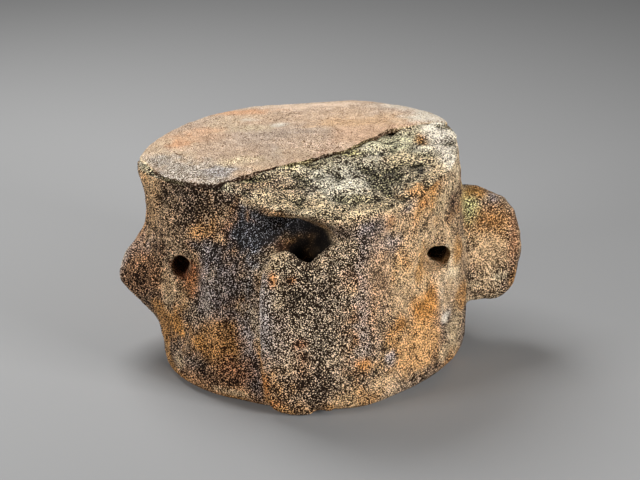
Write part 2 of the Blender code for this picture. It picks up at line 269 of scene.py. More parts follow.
@dataclass
class Centrum:
    """The drum of the vertebra: turned outlines, swollen and hollowed by angle and height."""

    height: float = 0.157
    face_tilt: float = 0.05
    mean_radius: float = 0.118
    waist: float = 0.004
    lower_rounding: float = 0.008
    upper_rounding: float = 0.0025
    plate_thickness: float = 0.0035
    feather: float = 0.0008
    thin_from: float = 0.100
    whole_to: float = 0.064
    worn_slope: float = 0.035
    around: int = 420
    face_rings: int = 40
    corner_rings: int = 9
    side_rings: int = 110
    lower_outline: Outline = Outline(
        (
            (-150, 0.1165), (-120, 0.1060), (-95, 0.1005), (-75, 0.1055), (-60, 0.1120),
            (0, 0.1180), (60, 0.1200), (95, 0.1260), (150, 0.1180),
        )
    )
    upper_outline: Outline = Outline(
        (
            (-165, 0.1175), (-151, 0.1185), (-137, 0.1195), (-118, 0.1182), (-106, 0.1198),
            (-98, 0.1218), (-89, 0.1226), (-82, 0.1190), (-73, 0.1085), (-64, 0.0985),
            (-56, 0.0905), (-48, 0.0825), (-40, 0.0790), (-32, 0.0810), (-24, 0.0885),
            (-16, 0.0960), (-9, 0.1040), (0, 0.1130), (10, 0.1215), (21, 0.1260), (34, 0.1195),
            (50, 0.1160), (65, 0.1162), (80, 0.1165), (90, 0.1172), (98, 0.1188), (112, 0.1230),
            (121, 0.1280), (132, 0.1285), (145, 0.1250), (160, 0.1205),
        )
    )
    swellings: tuple[Swelling, ...] = (
        Swelling(-0.028, -1, 0.1370, 15, 0.0140, 2.0),
        Swelling(-0.012, -30, 0.134, 17, 0.019),
        Swelling(-0.006, -60, 0.140, 15, 0.009),
        Swelling(-0.006, -22, 0.060, 8, 0.055),
        Swelling(0.009, 21, 0.050, 13, 0.075),
        Swelling(-0.005, 34, 0.132, 12, 0.014),
        Swelling(-0.004, 56, 0.100, 9, 0.022),
        Swelling(-0.005, -48, 0.098, 9, 0.022),
        Swelling(0.009, 92, 0.072, 24, 0.055),
        Swelling(0.012, -158, 0.078, 9, 0.056),
        Swelling(0.012, 158, 0.078, 9, 0.056),
        Swelling(-0.007, 180, 0.078, 10, 0.080),
    )
    left_tip: float = 0.0325
    left_round: float = -88.0
    left_width: float = 17.0
    left_z: float = 0.065
    left_above: float = 0.034
    left_below: float = 0.026
    wear_line: tuple[tuple[float, float], ...] = (
        (-0.070, -0.070), (-0.049, -0.050), (-0.031, -0.036), (-0.003, -0.020), (0.034, 0.000),
        (0.053, 0.024), (0.066, 0.042), (0.086, 0.047), (0.100, 0.052), (0.125, 0.056),
    )

    def past_wear(self, x: np.ndarray, y: np.ndarray) -> np.ndarray:
        """How far a place lies beyond the broken edge of the end plate, along -Y."""
        along, across = zip(*self.wear_line)
        return np.interp(x, along, across) - y

    def plate_height(self, x: np.ndarray) -> np.ndarray:
        """The height of the smooth upper face: a plane that rises towards +X."""
        return self.height + self.face_tilt * x

    def face_height(self, x: np.ndarray, y: np.ndarray) -> np.ndarray:
        """The height of the rough face under the end plate, which falls away beyond the plate's edge.

        Formula: the plate's thickness runs out towards the right rim, and the fall is in proportion to
        the distance from the edge.

        Args:
            x: places along X.
            y: places along Y.

        Returns:
            A height for each place.
        """
        whole = smooth_step(x, self.thin_from, self.whole_to)
        step = self.feather + (self.plate_thickness - self.feather) * whole
        fall = self.worn_slope * np.clip(self.past_wear(x, y), 0, None)
        return self.plate_height(x) - step - fall

    def side_radius(self, round_deg: np.ndarray, z: np.ndarray) -> np.ndarray:
        """The radius of the side.

        Formula: the lower outline eases to the mean radius as the height rises, the upper outline comes
        in with the fourth power of the height, the waist is half a sine squared, and each swelling and
        the left process add a bell curve.

        Args:
            round_deg: angles round the drum.
            z: heights.

        Returns:
            A radius for each place.
        """
        up = np.clip(z / self.height, 0, 1)
        lower = self.lower_outline.radius(round_deg)
        upper = self.upper_outline.radius(round_deg)
        radius = lower + (self.mean_radius - lower) * up + (upper - self.mean_radius) * up**4
        radius = radius - self.waist * np.sin(math.pi * up) ** 2
        for swelling in self.swellings:
            radius = radius + swelling.at(round_deg, z)
        half_height = np.where(z > self.left_z, self.left_above, self.left_below)
        across = turned(round_deg, self.left_round) / self.left_width
        return radius + self.left_tip * bell(across, (z - self.left_z) / half_height)

    def profile(self) -> tuple[np.ndarray, np.ndarray, np.ndarray]:
        """Half a section of the drum, from its lower middle over the side to its upper middle.

        Returns:
            For each ring: the share of the side's radius, the inset from that, and the height.
        """
        quarter = np.linspace(0, math.pi / 2, self.corner_rings)
        flat = np.linspace(0, 1, self.face_rings, endpoint=False)
        top_corner = self.height - self.upper_rounding
        side = np.linspace(self.lower_rounding, top_corner, self.side_rings)[1:-1]
        share = np.concatenate([flat, np.ones(2 * len(quarter) + len(side)), flat[::-1]])
        inset = np.concatenate(
            [
                np.full(len(flat), self.lower_rounding),
                self.lower_rounding * (1 - np.sin(quarter)),
                np.zeros(len(side)),
                self.upper_rounding * (1 - np.cos(quarter)),
                np.full(len(flat), self.upper_rounding),
            ]
        )
        height = np.concatenate(
            [
                np.zeros(len(flat)),
                self.lower_rounding * (1 - np.cos(quarter)),
                side,
                self.height - self.upper_rounding * (1 - np.sin(quarter)),
                np.full(len(flat), self.height),
            ]
        )
        return share, inset, height

    def surface(self) -> Skin:
        """The drum as rings of its profile, pushed out to the side's radius and up to the face.

        Returns:
            The drum's skin.
        """
        share, inset, level = (column[:, None] for column in self.profile())
        round_deg = np.linspace(-180, 180, self.around, endpoint=False)[None, :]
        radius = share * (self.side_radius(round_deg, level + 0 * round_deg) - inset)
        x = radius * np.sin(np.radians(round_deg))
        y = -radius * np.cos(np.radians(round_deg))
        z = level / self.height * self.face_height(x, y)
        return Skin.of_rings(np.stack([x, y, z], axis=2))


def boxed(directions: np.ndarray, half_sizes: Triple, squareness: float) -> np.ndarray:
    """Unit directions pushed out to a box with rounded corners, rounder for a lower squareness."""
    reach = (np.abs(directions / np.array(half_sizes)) ** squareness).sum(-1) ** (-1 / squareness)
    return directions * reach[..., None]


def ball_rings(rings: int, around: int) -> np.ndarray:
    """Unit directions over a ball, ring by ring from the lower pole to the upper one.

    Args:
        rings: how many rings, with the poles.
        around: directions in each ring.

    Returns:
        A grid of directions: ring, place in the ring, then x, y and z.
    """
    rise = np.linspace(-math.pi / 2, math.pi / 2, rings)[:, None]
    turn = np.linspace(0, 2 * math.pi, around, endpoint=False)[None, :]
    level = np.cos(rise)
    return np.stack([level * np.cos(turn), level * np.sin(turn), np.sin(rise) + 0 * turn], axis=2)


@dataclass
class NeuralArch:
    """The low arch over the canal: a thick plate, steep on its left and easing into the right."""

    middle: float = 0.005
    half_width: float = 0.0325
    top: float = 0.129
    top_tilt: float = 0.2
    foot: float = 0.001
    front: float = 0.125
    foot_forward: float = 0.007
    thickness: float = 0.018
    squareness: float = 3.8
    right_ease: float = 0.007
    saddle_depth: float = 0.009
    saddle_at: float = 0.0035
    saddle_half_width: float = 0.012

    def surface(self) -> Skin:
        """A rounded box whose foot comes forward and whose top rises to the right.

        Formula: y gains the ease times the square of the way to the right, and loses the foot's reach
        times the cube of the way down. z gains a tilt and loses a bell curve at the saddle.

        Returns:
            The arch's skin.
        """
        half = (self.half_width, self.thickness / 2, (self.top - self.foot) / 2)
        points = boxed(ball_rings(120, 160), half, self.squareness)
        x, y, z = points[..., 0], points[..., 1], points[..., 2]
        right = np.clip(x / self.half_width, 0, 1)
        up = z / (self.top - self.foot) + 0.5
        dip = np.exp(-(((x - self.saddle_at) / self.saddle_half_width) ** 2)) * up**6
        y = y + self.right_ease * right**2 - self.foot_forward * (1 - up) ** 3
        z = z + self.top_tilt * x * up - self.saddle_depth * dip
        shifted = np.stack([x + self.middle, y + self.thickness / 2 - self.front, z], axis=2)
        shifted[..., 2] += (self.top + self.foot) / 2
        return Skin.of_rings(shifted)


@dataclass
class SidePlate:
    """The right transverse process: a plate that stands out at the side, worn to a blunt corner."""

    root: float = 0.055
    tip: float = 0.1695
    round_deg: float = 95.0
    thickness: float = 0.034
    closing: int = 26
    upper_edge: tuple[tuple[float, float], ...] = (
        (0.0550, 0.1240), (0.1225, 0.1225), (0.1346, 0.1230), (0.1440, 0.1180), (0.1550, 0.1135),
        (0.1626, 0.1070), (0.1660, 0.0985), (0.1695, 0.0880),
    )
    lower_edge: tuple[tuple[float, float], ...] = (
        (0.0550, 0.0335), (0.1285, 0.0335), (0.1400, 0.0333), (0.1513, 0.0335), (0.1573, 0.0360),
        (0.1634, 0.0405), (0.1665, 0.0475), (0.1695, 0.0560),
    )

    def surface(self) -> Skin:
        """Rings across the plate between its two edges, thinner and closed at the tip.

        Formula: each ring is a superellipse of power 4, and all its sizes close by the square root of
        1 - s^closing, where s runs from 0 at the root to 1 at the tip.

        Returns:
            The plate's skin.
        """
        share = np.sin(np.linspace(0, math.pi / 2, 90))[:, None]
        reach = self.root + (self.tip - self.root) * share
        upper = np.interp(reach, *zip(*self.upper_edge))
        lower = np.interp(reach, *zip(*self.lower_edge))
        closing = np.sqrt(np.clip(1 - share**self.closing, 0, 1))
        turn = np.linspace(0, 2 * math.pi, 120, endpoint=False)[None, :]
        across = np.sign(np.cos(turn)) * np.abs(np.cos(turn)) ** 0.5
        along = np.sign(np.sin(turn)) * np.abs(np.sin(turn)) ** 0.5
        half_thickness = self.thickness / 2 * (1.5 - 0.7 * share) * closing
        z = (upper + lower) / 2 + (upper - lower) / 2 * along * closing
        side = half_thickness * across
        facing = math.radians(self.round_deg)
        x = reach * math.sin(facing) + side * math.cos(facing)
        y = -reach * math.cos(facing) + side * math.sin(facing)
        rings = np.stack([x, y, z], axis=2)
        ends = np.repeat(rings[[0, -1]].mean(axis=1, keepdims=True), rings.shape[1], axis=1)
        return Skin.of_rings(np.concatenate([ends[:1], rings, ends[1:]]))


@dataclass
class Channel:
    """A round hole through the bone: a circle carried along a straight line, flared at its mouth."""

    name: str
    start: Triple
    end: Triple
    radius: float
    mouth: float
    tallness: float = 1.0
    flare_power: float = 5.0

    def surface(self) -> Skin:
        """The cutter that bores the channel.

        Formula: the radius times 1 + (mouth - 1) s^power, where s is 1 at the start and 0 half way.

        Returns:
            The cutter's skin.
        """
        start, end = np.array(self.start), np.array(self.end)
        along = (end - start) / np.linalg.norm(end - start)
        aside = np.cross(along, (0.31, 0.27, 0.91))
        aside /= np.linalg.norm(aside)
        third = np.cross(along, aside)
        share = np.linspace(0, 1, 60)[:, None]
        flare = 1 + (self.mouth - 1) * np.clip(1 - 2 * share, 0, 1) ** self.flare_power
        turn = np.linspace(0, 2 * math.pi, 48, endpoint=False)[None, :]
        middle = start + share[..., None] * (end - start)
        spoke = np.cos(turn)[..., None] * aside + np.sin(turn)[..., None] * third
        spoke = spoke * (1.0, 1.0, self.tallness)
        rings = middle + (self.radius * flare)[..., None] * spoke
        ends = np.stack([np.broadcast_to(start, rings[0].shape), np.broadcast_to(end, rings[0].shape)])
        return Skin.of_rings(np.concatenate([ends[:1], rings, ends[1:]]))


@dataclass(frozen=True)
class Dent:
    """A small pit in a surface, or a knob where its depth is below zero, in millimetres."""

    place: Triple
    radius: float
    depth: float

    def at(self, points: np.ndarray) -> np.ndarray:
        """How deep each point sinks, in metres: a bell curve of its distance.

        Args:
            points: rows of x, y, z in metres.

        Returns:
            A depth for each row.
        """
        away = points - np.array(self.place) / MM_PER_METRE
        near = np.exp(-((away**2).sum(1) / (self.radius / MM_PER_METRE) ** 2))
        return self.depth / MM_PER_METRE * near


def seen(red: float, green: float, blue: float) -> np.ndarray:
    """A colour on the screen's scale of 0 to 255 as the share of light that it stands for."""
    share = np.array((red, green, blue)) / 255
    return np.where(share <= 0.04045, share / 12.92, ((share + 0.055) / 1.055) ** 2.4)


class Pigment(Enum):
    """The colours that the bone has taken on, and painted shade and highlight, on the screen's scale
    of 0 to 255.
    """

    # Painted shade: near-black laid inside the canal, inside the right foramen and in the deepest part
    # of the hollow over the canal, where little light reaches.
    PAINTED_DEEP_SHADE = (15, 10, 7)
    CRATER = (92, 54, 30)
    EMBER = (112, 54, 30)
    # Painted shade: dark grey laid in the crack pit on the worn face and along the wall beneath the
    # plate's left edge.
    PAINTED_CREVICE_SHADE = (34, 30, 29)
    # Blue-grey: partly the stain of the hollows, partly painted shade in them.
    SLATE_AND_HOLLOW_SHADE = (62, 62, 66)
    BLUE_GREY = (76, 78, 84)
    LILAC_DARK = (92, 85, 86)
    LILAC = (121, 113, 113)
    LILAC_PALE = (138, 130, 128)
    EARTH = (84, 70, 58)
    BARK = (88, 64, 44)
    UMBER = (104, 84, 62)
    UMBER_LIGHT = (124, 102, 78)
    MAROON = (124, 84, 56)
    RUST_BROWN = (136, 94, 46)
    RUST_DARK = (114, 74, 38)
    RUST = (152, 98, 42)
    RUST_OCHRE = (162, 112, 52)
    OLIVE = (110, 104, 70)
    OCHRE_DARK = (132, 104, 70)
    OCHRE = (152, 106, 44)
    ARCH = (106, 93, 78)
    # Painted highlight: a lighter copy of ARCH, laid on the upper part of the arch's front.
    ARCH_HIGHLIGHT = (120, 107, 89)
    ASH_DARK = (146, 136, 114)
    ASH = (190, 184, 166)
    LICHEN = (146, 144, 98)
    LICHEN_PALE = (200, 195, 162)
    SAND_PINK = (136, 112, 88)
    SAND = (170, 142, 108)
    SAND_PALE = (176, 154, 120)
    SAND_ORANGE = (182, 138, 86)
    BONE_DARK = (180, 160, 126)
    BONE = (208, 190, 158)
    BAND = (166, 158, 148)
    BLUE_PALE = (156, 152, 151)
    CHALK = (226, 216, 200)
    TAN = (214, 178, 140)
    ROSE = (218, 168, 128)
    ROSE_GREY = (198, 174, 152)
    ROSE_PALE = (226, 199, 174)

    def light(self) -> np.ndarray:
        """The colour as shares of light."""
        return seen(*self.value)


PATCH_CORE = 0.25
PATCH_EDGE = 1.5
PATCH_CLOUD = Layered(((0.40, Clouds(0.011, 21)), (0.35, Clouds(0.0045, 22))))


@dataclass(frozen=True)
class Stain:
    """A patch of colour and of open pores, with a cloudy edge. Place and reach are in millimetres."""

    place: Triple
    reach: Triple
    pigment: Pigment
    pores: float
    strength: float = 1.0

    def share(self, points: np.ndarray, cloud: np.ndarray) -> np.ndarray:
        """How much of each point the patch covers: all in its core, none past its cloudy edge.

        Args:
            points: rows of x, y, z in metres.
            cloud: how far the patch's edge is moved at each point, in parts of its reach.

        Returns:
            A share for each row.
        """
        place, reach = np.array(self.place) / MM_PER_METRE, np.array(self.reach) / MM_PER_METRE
        away = np.sqrt((((points - place) / reach) ** 2).sum(1))
        return self.strength * smooth_step(away + cloud, PATCH_EDGE, PATCH_CORE)


@dataclass(frozen=True)
class Drift:
    """A pigment that has settled here and there all over, in cloudy patches."""

    pigment: Pigment
    cell: float
    seed: int
    strength: float

    def share(self, points: np.ndarray) -> np.ndarray:
        """How much of each point the drift covers: where its cloud is well above its mean."""
        return self.strength * smooth_step(Clouds(self.cell, self.seed).at(points), 0.0, 0.55)


@dataclass(frozen=True)
class Palette:
    """A ground colour, the drifts over it, and the stains, in the order in which they are laid.

    The ground is broadly clouded in brightness, and drifts between warm and cool.
    """

    ground: Pigment
    pores: float
    drifts: tuple[Drift, ...]
    stains: tuple[Stain, ...]
    light: float = 1.0
    broad: Layered = Layered(((0.16, Clouds(0.055, 23)), (0.14, Clouds(0.018, 24))))
    warm: Layered = Layered(((0.10, Clouds(0.040, 25)),))

    def paint(self, points: np.ndarray) -> tuple[np.ndarray, np.ndarray]:
        """The colour and the openness of the pores at each point.

        Args:
            points: rows of x, y, z in metres, in the drum's frame.

        Returns:
            Rows of red, green and blue as shares of light, and one number of 0 to 1 for each row.
        """
        cloud = PATCH_CLOUD.at(points)
        tint = np.tile(self.ground.light(), (len(points), 1))
        tint *= (1 + self.broad.at(points))[:, None]
        warm = self.warm.at(points)
        tint *= 1 + np.stack([warm, 0.2 * warm, -warm], axis=1)
        pores = np.full(len(points), self.pores)
        for drift in self.drifts:
            tint += drift.share(points)[:, None] * (drift.pigment.light() - tint)
        for stain in self.stains:
            share = stain.share(points, cloud)
            tint += share[:, None] * (stain.pigment.light() - tint)
            pores += share * (stain.pores - pores)
        return tint * self.light, pores


SIDE_PALETTE = Palette(
    ground=Pigment.UMBER_LIGHT,
    pores=0.85,
    drifts=(
        Drift(Pigment.SAND, 0.050, 51, 0.8),
        Drift(Pigment.LILAC, 0.060, 52, 0.8),
        Drift(Pigment.RUST_BROWN, 0.035, 53, 0.8),
        Drift(Pigment.EARTH, 0.045, 54, 0.8),
        Drift(Pigment.OCHRE, 0.024, 55, 0.6),
        Drift(Pigment.BONE_DARK, 0.018, 56, 0.4),
    ),
    stains=(
        # Darker browns under the plate's left edge: partly the bone's stain, partly painted shade
        # beneath the edge.
        Stain((-76, -51, 140), (32, 32, 16), Pigment.EARTH, 0.9),
        Stain((-48, -65, 145), (17, 17, 11), Pigment.EARTH, 0.9),
        Stain((-111, -22, 120), (10, 14, 25), Pigment.OCHRE_DARK, 0.85, 0.8),
        # Sandy tone on the left edge: partly the bone's colour, partly painted highlight where the edge
        # turns to the light.
        Stain((-110, -25, 145), (9, 14, 11), Pigment.SAND, 0.8, 0.7),
        Stain((-113, -19, 151), (4, 14, 7), Pigment.OLIVE, 0.9, 0.9),
        Stain((-98, -49, 109), (11, 14, 20), Pigment.UMBER_LIGHT, 0.85, 0.7),
        Stain((-51, -73, 124), (11, 14, 10), Pigment.MAROON, 0.9, 0.9),
        # Darker brown under the plate's left edge: partly stain, partly painted shade.
        Stain((-68, -60, 132), (9, 14, 8), Pigment.UMBER, 0.9, 0.7),
        Stain((-123, -29, 69), (17, 17, 20), Pigment.BARK, 0.85, 0.9),
        Stain((-105, -44, 86), (11, 14, 20), Pigment.BARK, 0.8, 0.8),
        Stain((-81, -73, 86), (13, 16, 18), Pigment.RUST_BROWN, 0.9, 0.9),
        Stain((-87, -70, 65), (8, 14, 13), Pigment.OCHRE_DARK, 0.7, 0.9),
        Stain((-90, -68, 45), (10, 14, 16), Pigment.OCHRE, 0.8, 0.9),
        # Blue-grey in the hollows left of the canal and over it: partly stain, partly painted shade.
        Stain((-67, -77, 108), (14, 14, 10), Pigment.SLATE_AND_HOLLOW_SHADE, 0.75, 0.8),
        Stain((-36, -85, 124), (24, 24, 20), Pigment.SLATE_AND_HOLLOW_SHADE, 0.7),
        Stain((-6, -83, 133), (36, 36, 11), Pigment.SLATE_AND_HOLLOW_SHADE, 0.7),
        # Painted shade in the deepest part of the hollow over the canal.
        Stain((19, -88, 127), (17, 24, 15), Pigment.PAINTED_DEEP_SHADE, 0),
        Stain((-10, -96, 120), (7, 14, 4), Pigment.MAROON, 0.5, 0.7),
        Stain((-66, -86, 82), (16, 18, 24), Pigment.LILAC, 0.75, 0.75),
        Stain((-52, -94, 90), (13, 18, 22), Pigment.LILAC_DARK, 0.75, 0.8),
        Stain((-35, -103, 97), (6, 14, 22), Pigment.BLUE_GREY, 0.8, 0.7),
        Stain((-25, -124, 79), (8, 14, 30), Pigment.LILAC_PALE, 0.75, 0.7),
        Stain((-37, -102, 50), (7, 14, 28), Pigment.LILAC, 0.8, 0.9),
        Stain((-31, -109, 17), (8, 14, 15), Pigment.LILAC_DARK, 0.85, 0.9),
        Stain((-76, -84, 37), (15, 15, 12), Pigment.OCHRE, 0.9, 0.9),
        Stain((-56, -96, 37), (17, 17, 18), Pigment.RUST_BROWN, 0.9, 0.7),
        Stain((-46, -101, 23), (12, 14, 10), Pigment.MAROON, 0.9, 0.9),
        Stain((-76, -84, 23), (10, 14, 7), Pigment.EARTH, 0.9, 0.9),
        Stain((-63, -95, 14), (23, 23, 6), Pigment.BARK, 0.9, 0.9),
        Stain((-49, -102, 8), (17, 17, 3), Pigment.SAND, 0.9, 0.9),
        Stain((14, -126, 75), (30, 30, 57), Pigment.ARCH, 1),
        Stain((15, -128, 22), (39, 39, 16), Pigment.EARTH, 1, 0.85),
        # Painted highlight on the arch's upper front.
        Stain((-6, -125, 116), (12, 14, 7), Pigment.ARCH_HIGHLIGHT, 1, 0.9),
        Stain((29, -119, 118), (11, 14, 10), Pigment.ARCH_HIGHLIGHT, 1, 0.9),
        Stain((-18, -125, 107), (3, 14, 6), Pigment.RUST, 0.9, 0.7),
        Stain((-5, -126, 106), (4, 14, 3), Pigment.RUST_DARK, 0.9, 0.9),
        Stain((-25, -125, 23), (4, 14, 8), Pigment.RUST, 0.9, 0.8),
        Stain((-19, -128, 11), (7, 14, 4), Pigment.RUST_DARK, 0.9, 0.9),
        Stain((3, -127, 44), (7, 14, 11), Pigment.BARK, 0.9, 0.9),
        Stain((1, -127, 57), (5, 14, 5), Pigment.MAROON, 0.9, 0.9),
        Stain((33, -120, 28), (17, 17, 11), Pigment.ARCH, 0.95, 0.8),
        Stain((46, -113, 86), (6, 14, 51), Pigment.LILAC_PALE, 0.75, 0.5),
        Stain((50, -111, 140), (11, 14, 8), Pigment.LILAC_DARK, 0.7, 0.9),
        Stain((66, -94, 122), (10, 14, 8), Pigment.LILAC, 0.65, 0.8),
        Stain((77, -87, 147), (7, 14, 7), Pigment.LILAC_DARK, 0.8, 0.9),
        Stain((64, -99, 142), (4, 14, 7), Pigment.RUST, 0.9, 0.7),
        Stain((89, -72, 144), (5, 14, 5), Pigment.RUST, 0.9, 0.7),
        Stain((90, -70, 126), (11, 14, 11), Pigment.UMBER_LIGHT, 0.7, 0.7),
        Stain((57, -105, 104), (13, 14, 34), Pigment.SAND_PINK, 0.6, 0.8),
        Stain((74, -88, 75), (11, 14, 33), Pigment.SAND, 0.6, 0.8),
        Stain((88, -67, 96), (11, 14, 16), Pigment.OCHRE, 0.6, 0.7),
        Stain((92, -70, 62), (14, 14, 12), Pigment.RUST_OCHRE, 0.6),
        Stain((72, -90, 57), (8, 14, 7), Pigment.RUST_OCHRE, 0.65, 0.9),
        Stain((88, -75, 35), (21, 21, 15), Pigment.SAND_ORANGE, 0.75, 0.9),
        Stain((113, -40, 77), (7, 14, 8), Pigment.BONE, 0.45, 0.8),
        Stain((109, -50, 44), (4, 14, 4), Pigment.CHALK, 0.3, 0.9),
        Stain((109, -46, 63), (9, 14, 16), Pigment.SAND, 0.55, 0.8),
        Stain((115, -39, 27), (9, 14, 18), Pigment.SAND_PALE, 0.6, 0.8),
        Stain((81, -85, 22), (18, 18, 8), Pigment.SAND_ORANGE, 0.85, 0.9),
        Stain((65, -99, 34), (5, 14, 7), Pigment.LILAC, 0.9, 0.9),
        Stain((46, -115, 37), (6, 14, 5), Pigment.RUST_OCHRE, 0.8, 0.9),
        Stain((62, -104, 19), (15, 15, 5), Pigment.SAND, 0.9, 0.9),
        Stain((116, -31, 88), (5, 14, 10), Pigment.OCHRE, 0.55, 0.8),
        Stain((111, 0, 158), (9, 34, 20), Pigment.BONE, 0.8, 0.9),
        Stain((103, -51, 137), (10, 14, 16), Pigment.SAND_PALE, 0.7, 0.8),
        Stain((128, -5, 117), (7, 14, 15), Pigment.LICHEN, 0.8, 0.9),
        Stain((137, 2, 123), (14, 14, 5), Pigment.OCHRE, 0.6, 0.8),
        Stain((146, 4, 118), (6, 14, 5), Pigment.LILAC_DARK, 0.7, 0.9),
        Stain((145, -4, 101), (13, 14, 16), Pigment.RUST_BROWN, 0.6, 0.7),
        Stain((143, -4, 74), (18, 18, 21), Pigment.SAND, 0.55, 0.8),
        Stain((162, 3, 85), (4, 14, 25), Pigment.MAROON, 0.5, 0.7),
        Stain((152, -1, 56), (6, 14, 4), Pigment.BONE, 0.5, 0.8),
        Stain((139, -3, 43), (17, 17, 5), Pigment.UMBER_LIGHT, 0.7, 0.8),
        Stain((-30, -72, 148), (16, 12, 4), Pigment.BONE_DARK, 0.9, 0.8),
        Stain((0, -92, 149), (20, 12, 4), Pigment.BONE_DARK, 0.9, 0.8),
        Stain((34, -110, 150), (20, 12, 4), Pigment.BONE_DARK, 0.9, 0.8),
        Stain((66, -96, 150), (18, 14, 5), Pigment.SAND_PALE, 0.9, 0.8),
        Stain((-84, -68, 87), (8.5, 24, 12), Pigment.CRATER, 0.7),
        Stain((-79, -75, 78), (6, 12, 10), Pigment.RUST_DARK, 0.8, 0.8),
        Stain((-87, -8, 83), (12, 36, 14), Pigment.EMBER, 0.3),
        # Painted shade inside the right foramen.
        Stain((102, 10, 87), (13, 34, 14), Pigment.PAINTED_DEEP_SHADE, 0.2),
        Stain((104, -48, 90), (12, 24, 12), Pigment.SAND, 0.9),
        Stain((109, -56, 96), (5, 12, 6), Pigment.CHALK, 0.6),
        Stain((113, -50, 87), (4, 12, 4), Pigment.BONE, 0.6),
        # Painted shade inside the canal, behind the arch.
        Stain((4, -90, 121), (20, 24, 10), Pigment.PAINTED_DEEP_SHADE, 0.2, 0.95),
        Stain((7, -103, 85), (15, 9, 34), Pigment.PAINTED_DEEP_SHADE, 0),
        Stain((14, -90, 114), (19, 26, 17), Pigment.PAINTED_DEEP_SHADE, 0),
    ),
    light=1.15,
)

WORN_PALETTE = Palette(
    ground=Pigment.ASH_DARK,
    pores=1.0,
    drifts=(
        Drift(Pigment.ASH, 0.028, 57, 0.7),
        Drift(Pigment.OLIVE, 0.018, 58, 0.6),
        Drift(Pigment.BONE_DARK, 0.024, 59, 0.5),
    ),
    stains=(
        Stain((-32, -50, 152), (12, 10, 20), Pigment.OLIVE, 1),
        Stain((-38, -65, 151), (11, 16, 20), Pigment.UMBER_LIGHT, 1, 0.8),
        Stain((-7, -24, 154), (21, 8, 20), Pigment.OLIVE, 1),
        Stain((34, -2, 156), (20, 8, 20), Pigment.OLIVE, 1),
        Stain((69, 19, 157), (21, 18, 20), Pigment.LICHEN_PALE, 1),
        Stain((22, -54, 153), (32, 26, 20), Pigment.ASH, 1),
        Stain((-10, -62, 151), (20, 20, 20), Pigment.UMBER_LIGHT, 1, 0.8),
        Stain((92, 18, 158), (6, 12, 20), Pigment.OCHRE, 1),
        # Painted shade in the crack pit on the worn face's right.
        Stain((88, -42, 155), (3, 10, 20), Pigment.PAINTED_CREVICE_SHADE, 1),
        Stain((99, 42, 159), (8, 28, 20), Pigment.CHALK, 0.9, 0.8),
        Stain((108, 1, 157), (9, 51, 20), Pigment.CHALK, 0.9, 0.8),
        Stain((-26, -82, 150), (14, 10, 20), Pigment.BONE_DARK, 1),
        Stain((1, -97, 151), (26, 10, 20), Pigment.BONE_DARK, 1),
        Stain((32, -112, 151), (20, 10, 20), Pigment.BONE_DARK, 1),
        Stain((59, -99, 152), (14, 12, 20), Pigment.BONE_DARK, 1),
        Stain((82, -77, 153), (12, 12, 20), Pigment.SAND_ORANGE, 1),
        Stain((100, -53, 154), (8, 28, 20), Pigment.SAND_PALE, 0.9, 0.9),
    ),
    light=0.83,
)

PLATE_PALETTE = Palette(
    ground=Pigment.ROSE_GREY,
    pores=0.25,
    drifts=(
        Drift(Pigment.ROSE, 0.040, 60, 0.35),
        Drift(Pigment.BONE, 0.030, 61, 0.30),
    ),
    stains=(
        Stain((-1, 105, 157), (48, 8, 20), Pigment.ROSE_PALE, 0.15),
        Stain((-90, 31, 152), (11, 14, 20), Pigment.ROSE, 0.2),
        Stain((-50, 96, 155), (29, 8, 20), Pigment.ROSE, 0.2, 0.9),
        Stain((-68, 56, 154), (15, 8, 20), Pigment.ROSE, 0.3, 0.5),
        Stain((35, 61, 158), (29, 12, 20), Pigment.TAN, 0.25),
        Stain((0, 21, 157), (24, 16, 20), Pigment.ROSE_GREY, 0.4, 0.9),
        Stain((-39, 57, 155), (17, 10, 20), Pigment.BONE, 0.25, 0.7),
        Stain((-16, 62, 157), (6, 6, 20), Pigment.CHALK, 0.2),
        Stain((-104, -6, 151), (13, 18, 20), Pigment.BAND, 0.7),
        Stain((-92, -26, 152), (18, 18, 20), Pigment.BAND, 0.75),
        Stain((-76, -30, 152), (20, 24, 20), Pigment.BAND, 0.85),
        Stain((-60, -44, 154), (18, 18, 20), Pigment.BAND, 0.85),
        Stain((-58, -34, 154), (12, 12, 20), Pigment.BLUE_PALE, 0.8),
        Stain((-44, -15, 155), (17, 10, 20), Pigment.BONE, 0.7, 0.9),
        Stain((22, 7, 158), (30, 10, 20), Pigment.ROSE_GREY, 0.6, 0.8),
        Stain((-75, 17, 153), (17, 8, 20), Pigment.ROSE_GREY, 0.45, 0.8),
        Stain((73, 63, 161), (17, 16, 20), Pigment.TAN, 0.25, 0.8),
        Stain((-40, 76, 155), (9, 4, 20), Pigment.CHALK, 0.1, 0.5),
        Stain((104, 75, 161), (24, 30, 20), Pigment.CHALK, 0.35),
        Stain((85, 98, 161), (30, 10, 20), Pigment.CHALK, 0.2, 0.8),
    ),
    light=0.72,
)

WALL_PALETTE = Palette(
    ground=Pigment.EARTH,
    pores=0.9,
    drifts=(Drift(Pigment.OLIVE, 0.020, 62, 0.6),),
    stains=(
        Stain((-118, 0, 151), (14, 34, 20), Pigment.BONE, 0.7),
        Stain((-70, 100, 153), (70, 50, 20), Pigment.SAND_PALE, 0.6),
        Stain((30, 120, 158), (80, 40, 20), Pigment.SAND_PALE, 0.6),
        # Painted shade of the dark line beneath the plate's left edge.
        Stain((-88, -36, 152), (26, 16, 20), Pigment.PAINTED_CREVICE_SHADE, 0.8, 0.6),
        Stain((-50, -56, 154), (20, 14, 20), Pigment.PAINTED_CREVICE_SHADE, 0.8, 0.6),
        Stain((100, 52, 160), (40, 20, 20), Pigment.BONE_DARK, 0.6),
    ),
)


